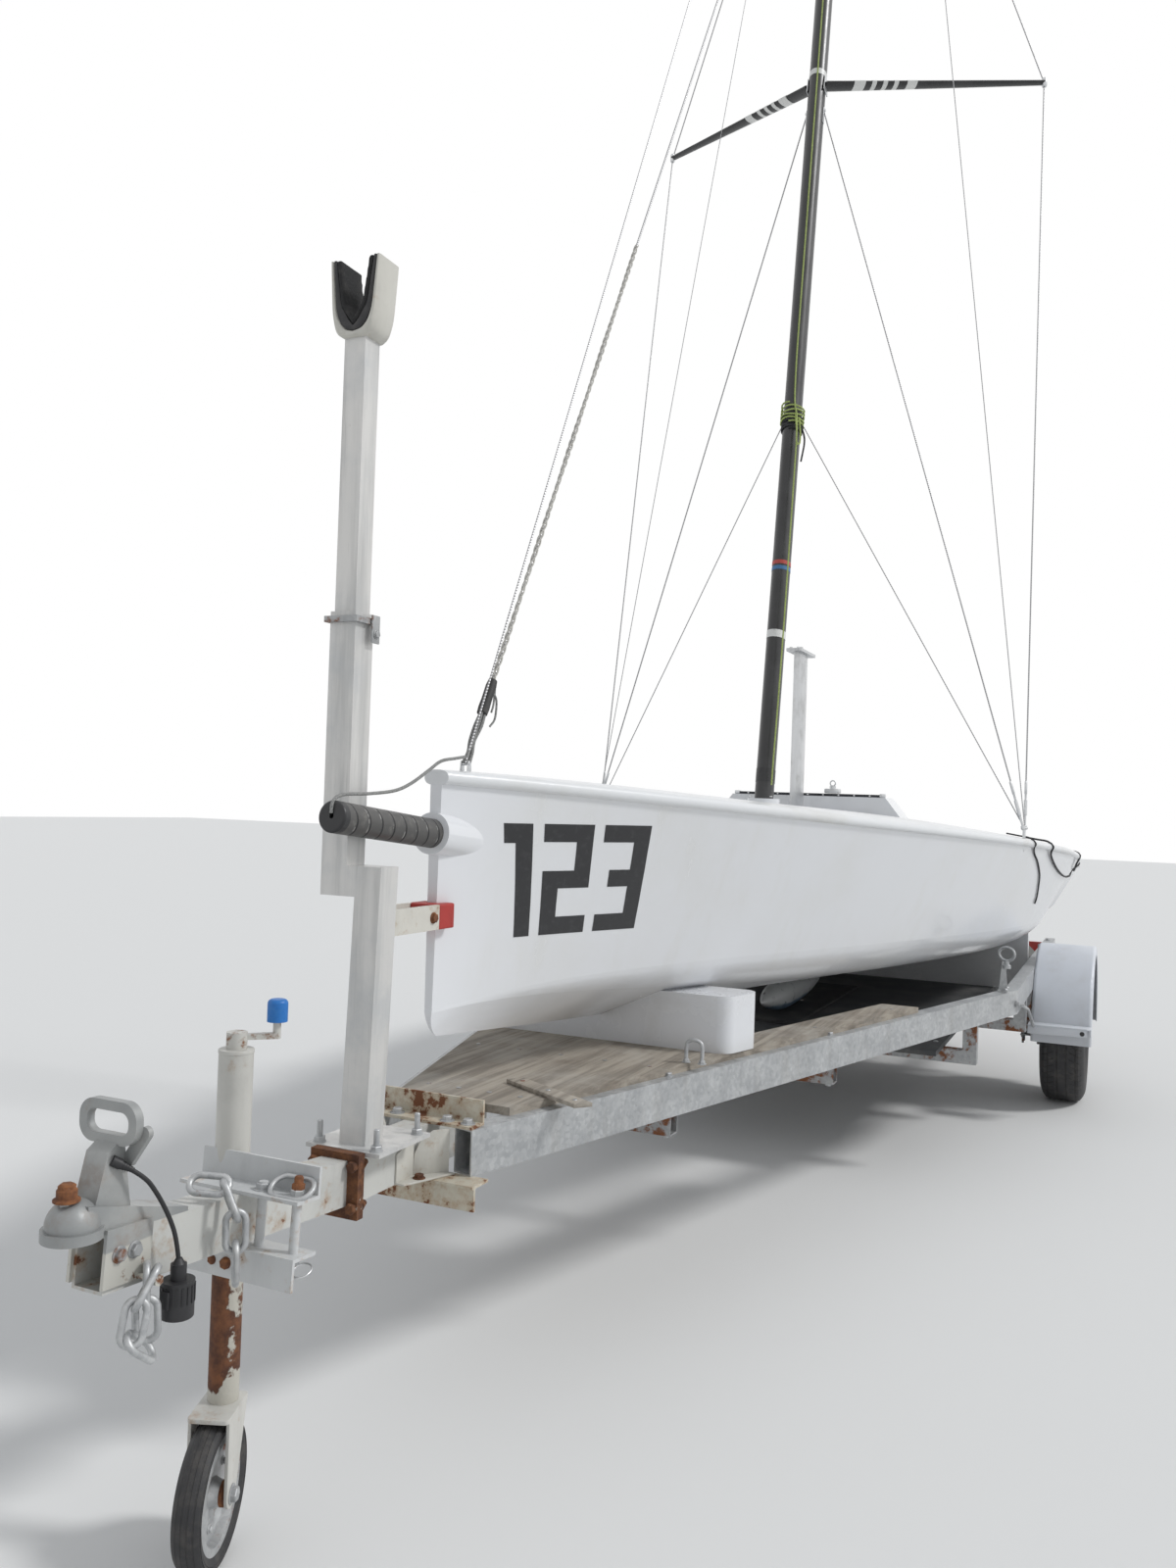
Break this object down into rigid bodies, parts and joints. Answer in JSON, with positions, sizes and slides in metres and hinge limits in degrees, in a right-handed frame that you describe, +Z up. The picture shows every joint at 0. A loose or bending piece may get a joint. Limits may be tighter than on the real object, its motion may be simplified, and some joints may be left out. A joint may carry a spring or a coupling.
{
  "type": "sailing dinghy on a road trailer",
  "caption": "Open sailing dinghy with raked mast, raised bulb keel and retracted bowsprit, carried on a galvanised road trailer with mast post, jockey wheel and mudguards.",
  "frame": {"origin": "on the floor under the middle of the outfit's box, midway between the coupling's nose and the rudder gudgeons", "axes": "+X forward towards the coupling, +Y to port, +Z up"},
  "size_m": [6.813, 2.408, 8.773],
  "materials": {
    "hull_gelcoat": "white gelcoat",
    "deck_gelcoat": "white gelcoat",
    "pole_tape": "non-slip tape over a carbon tube",
    "pole_plug": "moulded plug",
    "mast_tube": "anodised",
    "mast_step": "moulded",
    "wire": "stainless wire",
    "fitting_steel": "stainless",
    "keel_steel": "dull stainless",
    "bulb_paint": "white paint on lead",
    "track": "black anodised",
    "cable_skin": "black cable sheath",
    "plug_plastic": "black moulded plug",
    "galvanised": "spangled galvanising",
    "cream_paint": "weathered cream paint with rust",
    "cast_grey": "weathered casting",
    "chain_steel": "galvanised",
    "jockey_rust": "rusted steel with paint remnants",
    "jockey_rim": "silver paint",
    "rubber_wheel": "solid tyre",
    "road_tyre": "road tyre",
    "road_wheel": "silver paint",
    "guard_plastic": "white plastic",
    "board_wood": "weathered boards",
    "mat_rubber": "rubber mat",
    "cradle_white": "white moulding",
    "cradle_dark": "dark panel",
    "stop_cream": "cream paint",
    "pad_red": "red pad",
    "pad_dark": "padding",
    "lamp_board_white": "board",
    "lamp_red": "red lens"
  },
  "bodies": {
    "boat_on_trailer": {"hull": "hull_gelcoat", "deck": "deck_gelcoat", "mast": "mast_tube", "mast_step": "mast_step", "spreaders": "mast_tube", "chainplates": "fitting_steel", "forestay": "wire", "shrouds": "wire", "lowers": "wire", "coaming": "deck_gelcoat", "jib_track": "track", "gudgeons": "fitting_steel", "rails": "galvanised", "drop_beams": "galvanised", "cross_beams": "galvanised", "drawbar": "cream_paint", "joint_plates": "cream_paint", "drawbar_tail": "cream_paint", "cross_angles": "cream_paint", "mast_post": "cream_paint", "post_collar": "cream_paint", "bow_stops": "stop_cream", "bow_pads": "pad_red", "coupling": "cast_grey", "coupling_handle": "chain_steel", "safety_chain": "chain_steel", "lamp_cable": "cable_skin", "cable_plug": "plug_plastic", "jockey_clamp": "chain_steel", "jockey_tube": "cream_paint", "jockey_crank": "cream_paint", "axle": "galvanised", "springs": "galvanised", "mudguards": "guard_plastic", "tie_downs": "galvanised", "deck_boards": "board_wood", "platform": "board_wood", "keel_mat": "mat_rubber", "cradle_front": "cradle_white", "cradle_rear": "cradle_dark", "lamp_board": "lamp_board_white", "lamps": "lamp_red"},
    "bowsprit": {"bowsprit": "pole_tape", "sprit_plug": "pole_plug"},
    "keel": {"keel_bulb": "bulb_paint", "keel_fin": "keel_steel", "keel_head": "fitting_steel"},
    "crutch_tube": {"post_inner": "galvanised", "mast_crutch": "cream_paint", "crutch_pads": "pad_dark"},
    "jockey_leg": {"jockey_leg": "jockey_rust"},
    "jockey_fork": {"jockey_fork": "cream_paint"},
    "jockey_wheel": {"jockey_rim": "jockey_rim", "jockey_tyre": "rubber_wheel"},
    "road_wheel_port": {"wheel_port": "road_wheel", "tyre_port": "road_tyre"},
    "road_wheel_starboard": {"wheel_starboard": "road_wheel", "tyre_starboard": "road_tyre"}
  },
  "joints": [
    {"name": "bowsprit_slide", "type": "slide", "parent": "boat_on_trailer", "child": "bowsprit", "axis": [0.9952, 0, 0.0976], "range_m": [0, 1.6]},
    {"name": "keel_lift", "type": "slide", "parent": "boat_on_trailer", "child": "keel", "axis": [0, 0, 1], "range_m": [0, 0.02]},
    {"name": "crutch_height", "type": "slide", "parent": "boat_on_trailer", "child": "crutch_tube", "axis": [0, 0, 1], "range_m": [-0.14, 0.2]},
    {"name": "jockey_height", "type": "slide", "parent": "boat_on_trailer", "child": "jockey_leg", "axis": [0, 0, 1], "range_m": [-0.05, 0.15]},
    {"name": "jockey_swivel", "type": "hinge", "parent": "jockey_leg", "child": "jockey_fork", "pos_m": [2.9585, -0.061, 0.26], "axis": [0, 0, 1], "continuous": true},
    {"name": "jockey_spin", "type": "hinge", "parent": "jockey_fork", "child": "jockey_wheel", "pos_m": [3.00022, -0.04414, 0.125], "axis": [-0.3746, 0.9272, 0], "continuous": true},
    {"name": "wheel_spin_port", "type": "hinge", "parent": "boat_on_trailer", "child": "road_wheel_port", "pos_m": [-1.5415, 1.077, 0.325], "axis": [0, 1, 0], "continuous": true},
    {"name": "wheel_spin_starboard", "type": "hinge", "parent": "boat_on_trailer", "child": "road_wheel_starboard", "pos_m": [-1.5415, -1.077, 0.325], "axis": [0, 1, 0], "continuous": true}
  ]
}
